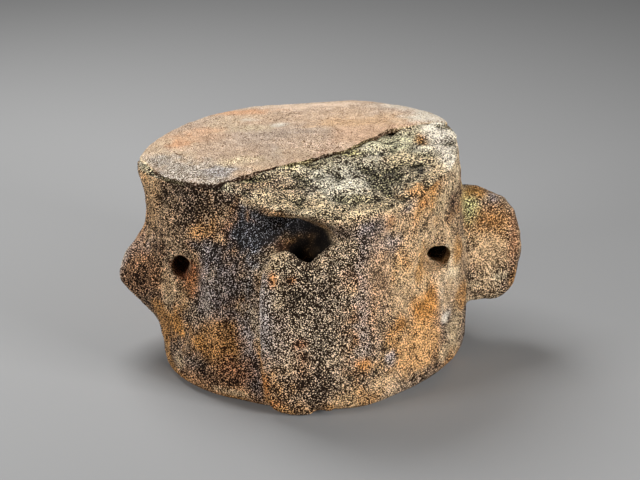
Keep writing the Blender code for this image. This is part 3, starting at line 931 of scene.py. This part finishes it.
def lay_colour(mesh: bpy.types.Mesh, layer: Layer, colour: np.ndarray) -> None:
    """Puts a colour layer on a mesh.

    Args:
        mesh: the mesh.
        layer: the layer.
        colour: rows of red, green and blue, one for each vertex.
    """
    made = mesh.attributes.new(layer.value, "FLOAT_COLOR", "POINT")
    with_alpha = np.concatenate([np.clip(colour, 0, 1), np.ones((len(colour), 1))], axis=1)
    made.data.foreach_set("color", with_alpha.astype(np.float32).ravel())


def lay_number(mesh: bpy.types.Mesh, layer: Layer, number: np.ndarray) -> None:
    """Puts a number layer on a mesh, one value for each vertex."""
    made = mesh.attributes.new(layer.value, "FLOAT", "POINT")
    made.data.foreach_set("value", number.astype(np.float32))


NORMAL_SCORES = (
    (0.08, 1.41), (0.20, 0.84), (0.30, 0.52), (0.40, 0.25), (0.60, -0.25), (0.70, -0.52),
    (0.80, -0.84), (0.92, -1.41), (0.97, -1.88),
)


LUMINANCE = np.array((0.2126, 0.7152, 0.0722))
WARM_GREY = np.array((1.02, 1.0, 0.96))
LEAST_LIGHT = 0.004
HUE_KEPT = 0.88
LEAST_STRUT = 1.02
BRIGHTEST = 0.95
FILL_RANGE = (0.08, 0.97)


def lay(
    mesh: bpy.types.Mesh, tint: np.ndarray, pores: np.ndarray, contrast: np.ndarray, coarse: np.ndarray
) -> None:
    """Puts the finish's layers on a mesh.

    Formula: struts are the tint's hue at the brightness contrast * sqrt(light), and the share of the
    surface that they fill keeps the mean at the tint. The fill layer is the normal score of that share.

    Args:
        mesh: the mesh.
        tint: rows of red, green and blue, the mean colour at each vertex.
        pores: how open the bone is at each vertex, from 0 to 1.
        contrast: at each vertex, the brightness of the struts where the tint is white.
        coarse: at each vertex, how coarse the pores are, from 0 to 1.
    """
    light = np.maximum(tint @ LUMINANCE, LEAST_LIGHT)
    greyed = HUE_KEPT * tint / light[:, None] + (1 - HUE_KEPT) * WARM_GREY
    most = BRIGHTEST / greyed.max(axis=1)
    strut_light = np.clip(contrast * np.sqrt(light), light * LEAST_STRUT, most)
    filled = np.clip(light * BRIGHTEST / strut_light, *FILL_RANGE)
    score = np.interp(filled, *zip(*NORMAL_SCORES))
    lay_colour(mesh, Layer.TINT, tint)
    lay_colour(mesh, Layer.STRUT, greyed * strut_light[:, None])
    lay_number(mesh, Layer.FILL, score)
    lay_number(mesh, Layer.PORES, pores)
    lay_number(mesh, Layer.COARSE, coarse)


def rows_of(items: bpy.types.bpy_prop_collection, name: str) -> np.ndarray:
    """One vector of each item in a mesh's list.

    Args:
        items: the list, such as the mesh's vertices.
        name: the name of the vector.

    Returns:
        Rows of x, y, z.
    """
    rows = np.empty(len(items) * 3)
    items.foreach_get(name, rows)
    return rows.reshape(-1, 3)


def points_of(mesh: bpy.types.Mesh) -> np.ndarray:
    """The vertex positions of a mesh, as rows of x, y, z."""
    return rows_of(mesh.vertices, "co")


def normals_of(mesh: bpy.types.Mesh) -> np.ndarray:
    """The outward direction at each vertex of a mesh, as rows of x, y, z."""
    return rows_of(mesh.vertex_normals, "vector")


def put_points(mesh: bpy.types.Mesh, points: np.ndarray) -> None:
    """Sets the vertex positions of a mesh."""
    mesh.vertices.foreach_set("co", points.astype(np.float32).ravel())
    mesh.update()


def settle_modifiers(piece: bpy.types.Object) -> None:
    """Replaces a piece's mesh by the one that its modifiers make of it.

    Args:
        piece: the object.
    """
    bpy.context.view_layer.update()
    shown = piece.evaluated_get(bpy.context.evaluated_depsgraph_get())
    made = bpy.data.meshes.new_from_object(shown)
    piece.modifiers.clear()
    old, piece.data = piece.data, made
    bpy.data.meshes.remove(old)
    made.name = piece.name


def keep_largest(mesh: bpy.types.Mesh) -> None:
    """Drops every closed surface of a mesh but the one with the most corners.

    Args:
        mesh: the mesh.
    """
    bm = bmesh.new()
    bm.from_mesh(mesh)
    left = set(bm.verts)
    islands: list[set] = []
    while left:
        island: set = set()
        front = [next(iter(left))]
        while front:
            vertex = front.pop()
            if vertex in island:
                continue
            island.add(vertex)
            front.extend(edge.other_vert(vertex) for edge in vertex.link_edges)
        islands.append(island)
        left -= island
    islands.sort(key=len)
    for island in islands[:-1]:
        bmesh.ops.delete(bm, geom=list(island), context="VERTS")
    bm.to_mesh(mesh)
    bm.free()


@dataclass
class BoneSkin:
    """The porous body of the vertebra: its parts made one skin, bored, weathered and stained.

    The worn face is where the normal points up by face_slopes and the point lies less than face_depths
    under the plate's level. It is bare past the wear line by bare_band, and under the plate it is sunk.
    Knobs that stand above the plate's level are squashed. Relief paints shade and highlight onto the
    stains
    by shading_depth: darker where it sinks, lighter where it stands out. The worn face's creases, at
    crease_depths, get darker painted shade still.
    """

    centrum: Centrum = field(default_factory=Centrum)
    arch: NeuralArch = field(default_factory=NeuralArch)
    side_plate: SidePlate = field(default_factory=SidePlate)
    channels: tuple[Channel, ...] = (
        Channel("canal", (0.007, -0.106, 0.135), (0.007, -0.110, -0.010), 0.0115, 1.6),
        Channel("left_foramen", (-0.087, -0.082, 0.0905), (-0.087, 0.095, 0.072), 0.0058, 1.9, 1.30),
        Channel("right_foramen", (0.102, -0.074, 0.0950), (0.102, 0.095, 0.072), 0.0084, 1.9, 0.95),
    )
    voxel: float = 0.00178
    sunk: float = 0.0008
    knob_squash: float = 0.85
    side_relief: Layered = Layered(
        (
            (0.0009, Clouds(0.020, 1)),
            (0.0006, Clouds(0.009, 2)),
            (0.0004, Clouds(0.0042, 3)),
            (0.0005, Clouds(0.006, 4, (1.0, 1.0, 5.0))),
        )
    )
    knobs: Layered = Layered(
        ((0.0022, Clouds(0.014, 5)), (0.0016, Clouds(0.0070, 6)), (0.0007, Clouds(0.0036, 7)))
    )
    blend_rounds: int = 5
    face_slopes: tuple[float, float] = (0.45, 0.75)
    face_depths: tuple[float, float] = (0.022, 0.014)
    foot_fade: float = 0.010
    bare_band: tuple[float, float] = (-0.006, 0.003)
    shading_depth: float = 0.0045
    shading_range: tuple[float, float] = (0.5, 1.5)
    crease_depths: tuple[float, float] = (-0.0004, -0.0022)
    crease_shade: float = 0.4
    crease_strength: float = 0.75
    pore_gain: float = 1.25
    strut_contrast: float = 3.1
    worn_contrast: float = 0.3
    dents: tuple[Dent, ...] = (
        Dent((-84, -73, 88), 12, 5.5),
        Dent((-69, -80, 86), 8, -1.5),
        Dent((106, -56, 86), 8, 2),
        Dent((106, -59, 96.5), 3.5, -3),
        Dent((112, -50, 87), 3, -2.5),
        Dent((96, -64, 86), 3, -2),
        Dent((6.5, -126, 44), 4.5, 1.8),
        Dent((2.5, -126, 50), 3.5, 1.4),
        Dent((14.5, -125, 3), 5, 4),
        Dent((123.5, -6, 112), 2, 1.6),
        Dent((129.5, -4, 120), 1.8, 1.2),
        Dent((85.5, -40, 155), 3, 2),
    )

    def joined(self) -> bpy.types.Object:
        """The parts as one even skin: overlapping shells remeshed by voxels, then bored and evened.

        Returns:
            The bone, in the drum's frame.
        """
        shells = self.centrum.surface().joined(self.arch.surface()).joined(self.side_plate.surface())
        bone = shells.as_object("bone")
        cutters = bpy.data.collections.new("channels")
        for channel in self.channels:
            cutter = channel.surface().as_object(channel.name)
            bpy.context.scene.collection.objects.unlink(cutter)
            cutters.objects.link(cutter)
        remesh = bone.modifiers.new("one_skin", "REMESH")
        remesh.mode = "VOXEL"
        remesh.voxel_size = self.voxel
        bore = bone.modifiers.new("bore", "BOOLEAN")
        bore.operation = "DIFFERENCE"
        bore.operand_type = "COLLECTION"
        bore.collection = cutters
        bore.solver = "EXACT"
        even = bone.modifiers.new("even", "REMESH")
        even.mode = "VOXEL"
        even.voxel_size = self.voxel
        smooth = bone.modifiers.new("blend", "SMOOTH")
        smooth.factor = 0.5
        smooth.iterations = self.blend_rounds
        settle_modifiers(bone)
        for cutter in list(cutters.objects):
            bpy.data.objects.remove(cutter, do_unlink=True)
        bpy.data.collections.remove(cutters)
        keep_largest(bone.data)
        return bone

    def worn_share(self, points: np.ndarray, normals: np.ndarray) -> np.ndarray:
        """How far each point, in the drum's frame, belongs to the bared upper face."""
        below = self.centrum.plate_height(points[:, 0]) - points[:, 2]
        return smooth_step(normals[:, 2], *self.face_slopes) * smooth_step(below, *self.face_depths)

    def weathered(
        self, points: np.ndarray, normals: np.ndarray, worn: np.ndarray
    ) -> tuple[np.ndarray, np.ndarray]:
        """The points moved along their normals by clouds of several sizes, coarser on the worn face.

        Args:
            points: rows of x, y, z in metres, in the drum's frame.
            normals: the outward direction at each point.
            worn: how far each point belongs to the bared upper face.

        Returns:
            The moved points, and how far each has moved outwards.
        """
        above_floor = smooth_step(points[:, 2], 0.0, self.foot_fade)
        bare = smooth_step(self.centrum.past_wear(points[:, 0], points[:, 1]), *self.bare_band)
        knobs = self.knobs.at(points) * bare - self.sunk * (1 - bare)
        move = (self.side_relief.at(points) * (1 - worn) + knobs * worn) * above_floor
        moved = points + normals * move[:, None]
        proud = moved[:, 2] - self.centrum.plate_height(moved[:, 0]) + self.sunk
        moved[:, 2] -= self.knob_squash * np.clip(proud, 0, None)
        moved[:, 2] = np.maximum(moved[:, 2], 0)
        return moved, move

    def build(self) -> tuple[bpy.types.Object, np.ndarray]:
        """Makes the bone's mesh, sets it on the frame's origin and stains it.

        Returns:
            The object, and the shift from the drum's frame to the finished one.
        """
        bone = self.joined()
        points = points_of(bone.data)
        worn = self.worn_share(points, normals_of(bone.data))
        points, relief = self.weathered(points, normals_of(bone.data), worn)
        middle = (points.min(0) + points.max(0)) / 2
        shift = np.array([-middle[0], -middle[1], 0.0])
        normals = normals_of(bone.data)
        for dent in self.dents:
            points -= normals * dent.at(points)[:, None]
        put_points(bone.data, points + shift)
        tint, pores = SIDE_PALETTE.paint(points)
        worn_tint, worn_pores = WORN_PALETTE.paint(points)
        tint += worn[:, None] * (worn_tint - tint)
        pores += worn * (worn_pores - pores)
        # Painted shade and highlight: the tint is darkened where the relief sinks and lightened where it
        # stands out.
        tint *= np.clip(1 + relief / self.shading_depth, *self.shading_range)[:, None]
        # Painted shade in the worn face's creases, towards a dark olive.
        crease = worn * smooth_step(relief, *self.crease_depths)
        shade = self.crease_shade * Pigment.OLIVE.light()
        tint += self.crease_strength * crease[:, None] * (shade - tint)
        open_pores = np.clip(self.pore_gain * pores, 0, 1)
        lay(bone.data, tint, open_pores, self.strut_contrast + self.worn_contrast * worn, worn)
        bone.data.shade_smooth()
        return bone, shift


@dataclass
class EndPlate:
    """The thin smooth plate on the upper face, whole at the rim and broken off along the wear line.

    Its edge is ragged where it is broken, and worn off at one corner of the rim. Its face has faint
    growth rings round growth_middle, and rounds down over the edge_band along its edge.
    """

    centrum: Centrum
    middle: tuple[float, float] = (-0.012, 0.040)
    around: int = 540
    rings: int = 110
    sunk: float = 0.0015
    rim_proud: float = 0.0004
    corner_round: float = 207.0
    corner_width: float = 9.0
    corner_depth: float = 0.008
    broken_band: tuple[float, float] = (-0.004, 0.002)
    ragged: Layered = Layered(((0.0016, Clouds(0.012, 31)), (0.0011, Clouds(0.0045, 32))))
    ragged_everywhere: float = 0.4
    ragged_where_broken: float = 0.6
    rounding: float = 0.0020
    sharper_where_broken: float = 0.0014
    rounder_at_left: float = 0.0014
    left_round: float = 203.0
    left_width: float = 14.0
    corner_rings: int = 7
    wall_rings: int = 4
    lower_rings: int = 12
    ring_power: float = 0.85
    undercut: float = 0.0006
    edge_band: float = 0.016
    relief: Layered = Layered(
        ((0.0005, Clouds(0.045, 41)), (0.0003, Clouds(0.015, 42)), (0.00016, Clouds(0.004, 43)))
    )
    growth_middle: tuple[float, float] = (0.005, 0.030)
    growth_gap: float = 0.0075
    growth_height: float = 0.00012
    growth_sway: Clouds = Clouds(0.05, 44)
    edge_drop: float = 0.0012
    pore_gain: float = 3.5
    strut_contrast: float = 0.55
    pore_contrast: float = 1.1
    wall_slopes: tuple[float, float] = (0.80, 0.35)
    pits: tuple[Dent, ...] = (
        Dent((-23.5, 73.5, 157), 2.2, 2.6),
        Dent((-18.5, 72.5, 157), 1.6, 2.2),
        Dent((2.5, 19, 157), 1.8, 2.4),
        Dent((6, 20.5, 157), 1.2, 1.6),
        Dent((-29.5, 22, 156), 1.4, 1.4),
    )

    def spot(self, reach: np.ndarray, turn: np.ndarray) -> tuple[np.ndarray, np.ndarray]:
        """X and Y at these distances from the plate's middle, in these directions."""
        return self.middle[0] + reach * np.cos(turn), self.middle[1] + reach * np.sin(turn)

    def edge(self, turn: np.ndarray) -> tuple[np.ndarray, np.ndarray]:
        """The plate's edge.

        Formula: along each ray, the last place that is inside the rim and short of the wear line.

        Args:
            turn: directions from the plate's middle, in radians.

        Returns:
            How far the plate reaches in each direction, and how far its edge is broken, from 0 to 1.
        """
        reach = np.linspace(0.004, 0.20, 900)[:, None]
        x, y = self.spot(reach, turn)
        round_deg = np.degrees(np.arctan2(x, -y))
        level = np.full_like(x, self.centrum.height - self.centrum.upper_rounding)
        rim = self.centrum.side_radius(round_deg, level) + self.rim_proud
        inside_rim = np.hypot(x, y) < rim
        short_of_wear = self.centrum.past_wear(x, y) < 0
        last_rim = reach[np.argmin(inside_rim, axis=0), 0]
        first_worn = reach[np.argmin(short_of_wear, axis=0), 0]
        last_wear = np.where(short_of_wear.all(axis=0), 1.0, first_worn)
        broken = smooth_step(last_rim - last_wear, *self.broken_band)
        far = np.minimum(last_rim, last_wear)
        ragged = self.ragged.at(np.stack([*self.spot(far, turn), 0 * far], axis=1))
        from_corner = turned(np.degrees(turn), self.corner_round) / self.corner_width
        worn_corner = self.corner_depth * np.exp(-(from_corner**2))
        ragged = ragged * (self.ragged_everywhere + self.ragged_where_broken * broken)
        return far - worn_corner + ragged, broken

    def rings_of_points(self) -> np.ndarray:
        """The plate from its upper middle over its edge to its lower middle.

        Formula: rings that share the edge's outline, at the face's height with relief on it, rounded
        over by a quarter circle at the edge, then a wall down and a flat underside. The relief is
        clouds, growth rings as a sine of the distance from their middle, and a drop near the edge.

        Returns:
            A grid of points: ring from the lower middle up, place in the ring, then x, y and z.
        """
        turn = np.linspace(0, 2 * math.pi, self.around, endpoint=False)
        reach, broken = self.edge(turn)
        left = np.exp(-((turned(np.degrees(turn), self.left_round) / self.left_width) ** 2))
        rounding = self.rounding - self.sharper_where_broken * broken + self.rounder_at_left * left
        rounding = rounding[None, :]
        quarter = np.linspace(0, math.pi / 2, self.corner_rings)[1:, None]
        share = np.linspace(0, 1, self.rings)[:, None] ** self.ring_power
        upper = share * (reach - rounding[0])[None, :]
        corner = reach[None, :] - rounding * (1 - np.sin(quarter))
        wall = reach[None, :] - np.linspace(0.0, self.undercut, self.wall_rings)[:, None]
        lower = np.linspace(1, 0, self.lower_rings)[1:, None] * reach[None, :]
        radius = np.concatenate([upper, corner, wall, lower])
        thickness = self.centrum.plate_thickness + self.sunk
        depth = np.concatenate(
            [
                np.zeros_like(upper),
                rounding * (1 - np.cos(quarter)),
                rounding + (thickness - rounding) * np.linspace(0.25, 1, self.wall_rings)[:, None],
                np.full_like(lower, thickness),
            ]
        )
        x, y = self.spot(radius, turn)
        level = self.centrum.plate_height(x) - depth
        points = np.stack([x, y, level], axis=2).reshape(-1, 3)
        near_edge = smooth_step((reach[None, :] - radius).ravel(), self.edge_band, 0.0)
        relief = self.relief.at(points * (1, 1, 0))
        growth_x, growth_y = self.growth_middle
        from_growth = np.hypot(points[:, 0] - growth_x, points[:, 1] - growth_y)
        phase = from_growth / self.growth_gap * 2 * math.pi + 2 * self.growth_sway.at(points)
        relief += self.growth_height * np.sin(phase)
        relief -= self.edge_drop * near_edge**2
        on_top = (depth < thickness * 0.9).ravel()
        points[:, 2] += relief * on_top
        for pit in self.pits:
            points[:, 2] -= pit.at(points) * on_top
        return points.reshape(len(radius), self.around, 3)[::-1]

    def build(self, shift: np.ndarray) -> bpy.types.Object:
        """Makes the plate in the finished frame and stains it.

        Args:
            shift: from the drum's frame to the finished one.

        Returns:
            The object.
        """
        plate = Skin.of_rings(self.rings_of_points()).as_object("end_plate")
        points = points_of(plate.data)
        put_points(plate.data, points + shift)
        tint, pores = PLATE_PALETTE.paint(points)
        wall = smooth_step(normals_of(plate.data)[:, 2], *self.wall_slopes)
        wall_tint, wall_pores = WALL_PALETTE.paint(points)
        tint += wall[:, None] * (wall_tint - tint)
        pores += wall * (wall_pores - pores)
        contrast = self.strut_contrast + self.pore_contrast * pores
        lay(plate.data, tint, np.clip(self.pore_gain * pores, 0, 1), contrast, wall)
        plate.data.shade_smooth()
        return plate


class Wire:
    """A value in a material's nodes, with which sums are written as plain expressions."""

    def __init__(self, bench: "Bench", socket: bpy.types.NodeSocket) -> None:
        """Keeps the socket and the bench that its nodes are made on."""
        self.bench = bench
        self.socket = socket

    def _math(
        self, operation: str, first: "Wire | float", second: "Wire | float", clamp: bool = False
    ) -> "Wire":
        """A Math node on two values.

        Args:
            operation: the node's operation.
            first: its first value.
            second: its second value.
            clamp: whether the result is held between 0 and 1.

        Returns:
            The result.
        """
        settings = {"operation": operation, "use_clamp": clamp}
        node = self.bench.add("ShaderNodeMath", settings, {0: first, 1: second})
        return Wire(self.bench, node.outputs[0])

    def __add__(self, other: "Wire | float") -> "Wire":
        """self + other."""
        return self._math("ADD", self, other)

    __radd__ = __add__

    def __mul__(self, other: "Wire | float") -> "Wire":
        """self * other."""
        return self._math("MULTIPLY", self, other)

    __rmul__ = __mul__

    def __sub__(self, other: "Wire | float") -> "Wire":
        """self - other."""
        return self._math("SUBTRACT", self, other)

    def __rsub__(self, other: "Wire | float") -> "Wire":
        """other - self."""
        return self._math("SUBTRACT", other, self)

    def clamped(self) -> "Wire":
        """The value held between 0 and 1."""
        return self._math("ADD", self, 0.0, clamp=True)


class Bench:
    """Where one material's nodes are made and joined."""

    def __init__(self, name: str) -> None:
        """Starts a material with a Principled shader.

        Args:
            name: the material's name.
        """
        self.material = bpy.data.materials.new(name)
        self.material.use_nodes = True
        self.tree = self.material.node_tree
        self.shader = self.tree.nodes["Principled BSDF"]

    def add(
        self, kind: str, settings: dict[str, object], inputs: dict[int | str, object]
    ) -> bpy.types.Node:
        """A node of this kind, its settings made first, then its sockets filled or linked.

        Args:
            kind: the node's type.
            settings: values of the node's own properties.
            inputs: for each socket, by number or name, a Wire to link or a value.

        Returns:
            The node.
        """
        node = self.tree.nodes.new(kind)
        for key, value in settings.items():
            setattr(node, key, value)
        for key, value in inputs.items():
            self.feed(node.inputs[key], value)
        return node

    def feed(self, socket: bpy.types.NodeSocket, value: object) -> None:
        """Links a Wire to a socket, or sets a plain value on it.

        Args:
            socket: the socket.
            value: a Wire or a plain value.
        """
        if isinstance(value, Wire):
            self.tree.links.new(value.socket, socket)
        else:
            socket.default_value = value

    def layer(self, layer: Layer, output: str) -> Wire:
        """A layer that the mesh carries."""
        node = self.add("ShaderNodeAttribute", {"attribute_name": layer.value}, {})
        return Wire(self, node.outputs[output])

    def noise(self, place: Wire, cell: float, detail: float, roughness: float) -> Wire:
        """Noise in space, from 0 to 1.

        Args:
            place: where the noise is read.
            cell: how wide its main lumps are, in metres.
            detail: how many finer octaves it has.
            roughness: how strong those are.

        Returns:
            The noise.
        """
        inputs = {"Vector": place, "Scale": 1 / cell, "Detail": detail, "Roughness": roughness}
        node = self.add("ShaderNodeTexNoise", {}, inputs)
        return Wire(self, node.outputs["Fac"])

    def mix(self, share: Wire | float, first: Wire, second: Wire) -> Wire:
        """Two colours mixed: the first at 0, the second at 1."""
        node = self.add("ShaderNodeMix", {"data_type": "RGBA"}, {0: share, 6: first, 7: second})
        return Wire(self, node.outputs[2])

    def scaled(self, colour: Wire, by: Wire | float) -> Wire:
        """A colour made lighter or darker by a factor."""
        node = self.add("ShaderNodeVectorMath", {"operation": "SCALE"}, {0: colour, 3: by})
        return Wire(self, node.outputs[0])

    def filtered(self, colour: Wire, by: Triple) -> Wire:
        """A colour times a factor for each channel."""
        node = self.add("ShaderNodeVectorMath", {"operation": "MULTIPLY"}, {0: colour, 1: by})
        return Wire(self, node.outputs[0])


@dataclass(frozen=True)
class PorousFinish:
    """Dry spongy bone: pale struts round dark pores, as strong as the pore layer says."""

    name: str
    pore_cell: float = 0.00082
    coarser: float = 1.25
    patch_cell: float = 0.007
    hue_cell: float = 0.0021
    hue_contrast: float = 7.0
    strut_filter: Triple = (1.03, 0.97, 0.76)
    shade_filter: Triple = (1.30, 0.92, 0.62)
    worn_filter: Triple = (1.08, 0.93, 0.78)
    spread: float = 0.105
    steepness: float = 6.0
    unevenness: float = 1.9
    dark: float = 0.075
    warmth: float = 0.3
    bump: float = 0.7
    bump_distance: float = 0.0010
    roughness: float = 0.88
    sheen: float = 0.12

    def build(self) -> bpy.types.Material:
        """The material: colours and pores from the mesh's layers, the pore pattern from noise.

        Formula: a point is strut where the noise's normal score is above that of the share left open,
        with a soft edge, and the share changes from patch to patch.

        Returns:
            The material.
        """
        bench = Bench(self.name)
        place = Wire(bench, bench.add("ShaderNodeTexCoord", {}, {}).outputs["Object"])
        tint = bench.layer(Layer.TINT, "Color")
        pale = bench.layer(Layer.STRUT, "Color")
        fill = bench.layer(Layer.FILL, "Fac")
        pores = bench.layer(Layer.PORES, "Fac")
        fine = bench.noise(place, self.pore_cell, 0.6, 0.5)
        coarse = bench.noise(place, self.pore_cell * self.coarser, 0.6, 0.5)
        grain = fine + (coarse - fine) * bench.layer(Layer.COARSE, "Fac")
        patches = bench.noise(place, self.patch_cell, 2.0, 0.6)
        hue_noise = bench.noise(place, self.hue_cell, 1.0, 0.5)
        hue = ((hue_noise - 0.5) * self.hue_contrast + 0.5).clamped() * self.warmth
        score = (grain - 0.5) * (1 / self.spread) - fill + (patches - 0.5) * self.unevenness
        strut = (score * self.steepness + 0.5).clamped()
        bony = bench.mix(hue, pale, bench.filtered(pale, self.strut_filter))
        shaded = bench.filtered(bench.scaled(tint, self.dark), self.shade_filter)
        holed = bench.mix(strut, shaded, bony)
        worn = bench.mix(hue * 0.4, tint, bench.filtered(tint, self.worn_filter))
        plain = bench.scaled(worn, strut * 0.35 + 0.82)
        colour = bench.scaled(bench.mix(pores, plain, holed), patches * 0.6 + 0.7)
        bench.feed(bench.shader.inputs["Base Color"], colour)
        bench.shader.inputs["Roughness"].default_value = self.roughness
        bench.shader.inputs["Specular IOR Level"].default_value = self.sheen
        height = (strut * 0.7 + grain) * pores
        inputs = {"Strength": self.bump, "Distance": self.bump_distance, "Height": height}
        bump = bench.add("ShaderNodeBump", {}, inputs)
        bench.feed(bench.shader.inputs["Normal"], Wire(bench, bump.outputs[0]))
        return bench.material


@dataclass(frozen=True)
class Lamp:
    """A square soft light that faces the bone."""

    name: str
    place: Triple
    size: float
    power: float

    def hang(self, aim: Triple) -> None:
        """Puts the light in the scene.

        Args:
            aim: the place that it faces.
        """
        light = bpy.data.lights.new(self.name, "AREA")
        light.size = self.size
        light.energy = self.power
        lamp = bpy.data.objects.new(self.name, light)
        lamp.location = self.place
        lamp.rotation_euler = (Vector(aim) - Vector(self.place)).to_track_quat("-Z", "Y").to_euler()
        bpy.context.scene.collection.objects.link(lamp)


@dataclass
class Studio:
    """The floor, the soft lights and the camera."""

    distance: float = 1.5
    elevation_deg: float = 22.5
    lens: float = 111.5
    target: Triple = (0.0150, -0.0040, 0.0868)
    floor_grey: float = 0.30
    floor_half: float = 6.0
    room_grey: float = 0.04
    lamp_aim: Triple = (0.0, 0.0, 0.08)
    lamps: tuple[Lamp, ...] = (
        Lamp("overhead", (-0.35, 0.46, 0.93), 0.6, 12.0),
        Lamp("front_right", (1.05, -0.78, 0.46), 0.45, 19.0),
        Lamp("front_left", (-1.15, -0.58, 0.46), 0.45, 10.5),
        Lamp("front", (-0.2, -2.2, 0.60), 0.6, 2.5),
    )

    def lay_floor(self) -> None:
        """A wide plain floor."""
        half = self.floor_half
        mesh = bpy.data.meshes.new("floor")
        corners = [(-half, -half, 0), (half, -half, 0), (half, half, 0), (-half, half, 0)]
        mesh.from_pydata(corners, [], [(0, 1, 2, 3)])
        floor = bpy.data.objects.new("floor", mesh)
        bpy.context.scene.collection.objects.link(floor)
        bench = Bench("floor_paint")
        bench.shader.inputs["Base Color"].default_value = (self.floor_grey,) * 3 + (1.0,)
        bench.shader.inputs["Roughness"].default_value = 0.8
        bench.shader.inputs["Specular IOR Level"].default_value = 0.2
        mesh.materials.append(bench.material)

    def set_camera(self, shift: np.ndarray) -> None:
        """The camera straight in front of the dorsal side, a little above it.

        Args:
            shift: from the drum's frame to the finished one.
        """
        rise = math.radians(self.elevation_deg)
        back = Vector((0, -math.cos(rise), math.sin(rise)))
        camera = bpy.data.objects.new("camera", bpy.data.cameras.new("camera"))
        camera.data.lens = self.lens
        camera.data.sensor_width = 36.0
        camera.location = Vector(np.array(self.target) + shift) + back * self.distance
        camera.rotation_euler = (-back).to_track_quat("-Z", "Y").to_euler()
        bpy.context.scene.collection.objects.link(camera)
        bpy.context.scene.camera = camera

    def build(self, shift: np.ndarray) -> None:
        """Sets up floor, lights, surroundings and camera.

        Args:
            shift: from the drum's frame to the finished one.
        """
        self.lay_floor()
        for lamp in self.lamps:
            lamp.hang(self.lamp_aim)
        world = bpy.data.worlds.new("room")
        world.use_nodes = True
        background = world.node_tree.nodes["Background"]
        background.inputs["Color"].default_value = (self.room_grey,) * 3 + (1.0,)
        bpy.context.scene.world = world
        bpy.context.scene.view_settings.view_transform = "Standard"
        self.set_camera(shift)


def report(piece: bpy.types.Object) -> None:
    """Logs a piece's name and how many faces it has."""
    log.info("%s: %d faces", piece.name, len(piece.data.polygons))


def main() -> None:
    """Builds the bone, its end plate and the studio."""
    logging.basicConfig(level=logging.INFO, format="%(message)s")
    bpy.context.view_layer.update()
    skin = BoneSkin()
    bone, shift = skin.build()
    plate = EndPlate(skin.centrum).build(shift)
    bone.data.materials.append(PorousFinish("spongy_bone").build())
    smooth = PorousFinish("smooth_bone", unevenness=1.6, dark=0.28, bump=0.4)
    plate.data.materials.append(smooth.build())
    for piece in (bone, plate):
        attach(piece, BODY)
        report(piece)
    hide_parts(NODE)
    Studio().build(shift)


if __name__ == "__main__":
    main()
